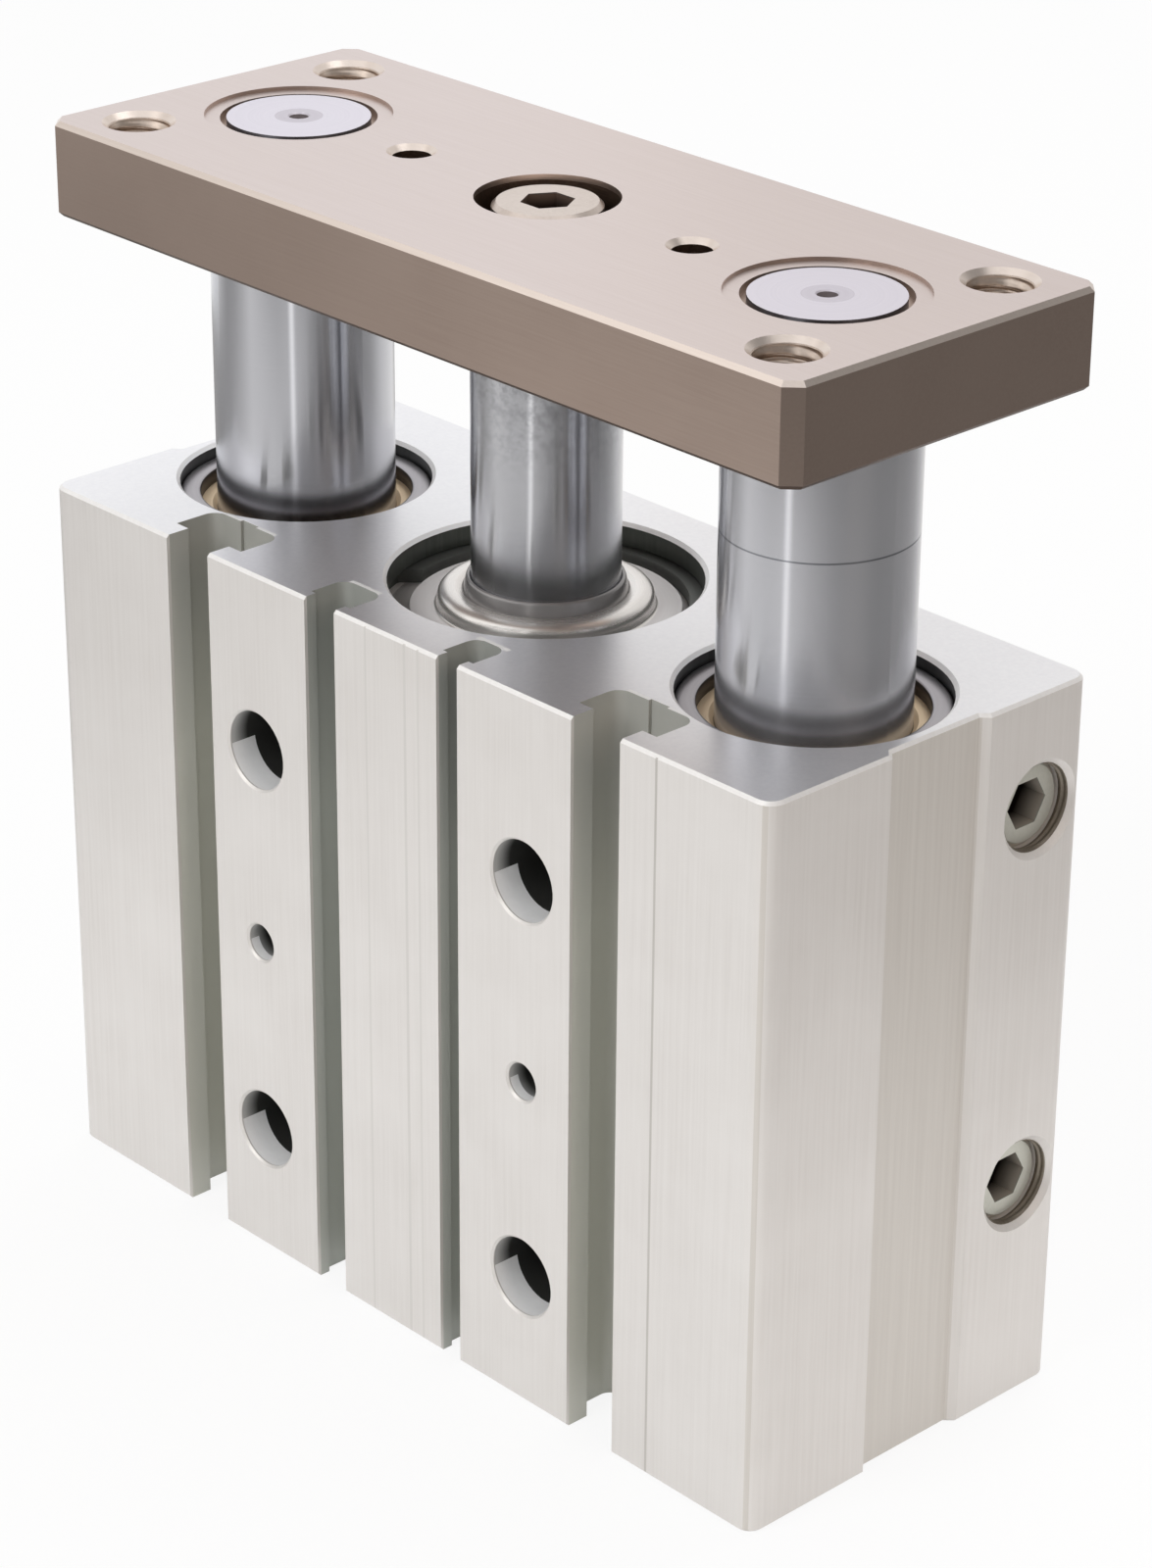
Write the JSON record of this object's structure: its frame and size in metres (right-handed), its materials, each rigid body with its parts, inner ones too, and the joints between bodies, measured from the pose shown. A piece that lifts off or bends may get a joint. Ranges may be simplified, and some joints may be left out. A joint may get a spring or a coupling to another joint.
{
  "type": "guided pneumatic cylinder",
  "caption": "Compact guided pneumatic cylinder: slotted block body, guide rods and piston rod carrying a flat tooling plate.",
  "frame": {"origin": "middle of the body's base", "axes": "+Z along the rods, away from the body; +X across the width, towards the plugged ports; -Y is the slotted front face"},
  "size_m": [0.112, 0.046, 0.1246],
  "materials": {
    "anodised_body": "clear anodised, matt",
    "plated_plate": "nickel plated, satin",
    "chromed_rod": "hard chromed, polished",
    "steel_fastener": "plated",
    "turned_cover": "turned",
    "spring_steel": "plain",
    "bearing_bronze": "turned",
    "seal_rubber": "moulded"
  },
  "bodies": {
    "housing": {"body": "anodised_body", "rod_cover": "turned_cover", "rod_cover_gasket": "seal_rubber", "rod_seal": "seal_rubber", "rod_cover_ring": "spring_steel", "head_cover": "turned_cover", "head_cover_gasket": "seal_rubber", "head_cover_ring": "spring_steel", "guide_bush_left_upper": "bearing_bronze", "guide_bush_left_lower": "bearing_bronze", "guide_bush_right_upper": "bearing_bronze", "guide_bush_right_lower": "bearing_bronze", "guide_ring_left": "spring_steel", "guide_ring_right": "spring_steel", "port_plug_upper": "steel_fastener", "port_plug_lower": "steel_fastener"},
    "carriage": {"tooling_plate": "plated_plate", "guide_rod_left": "chromed_rod", "guide_rod_right": "chromed_rod", "piston_rod": "chromed_rod", "plate_screw": "steel_fastener", "piston": "turned_cover", "piston_seal": "seal_rubber", "piston_magnet": "seal_rubber", "bumper_lower": "seal_rubber", "bumper_upper": "seal_rubber", "piston_nut": "steel_fastener"}
  },
  "joints": [
    {"name": "carriage_slide", "type": "slide", "parent": "housing", "child": "carriage", "axis": [0, 0, 1], "range_m": [-0.021, 0.009]}
  ]
}
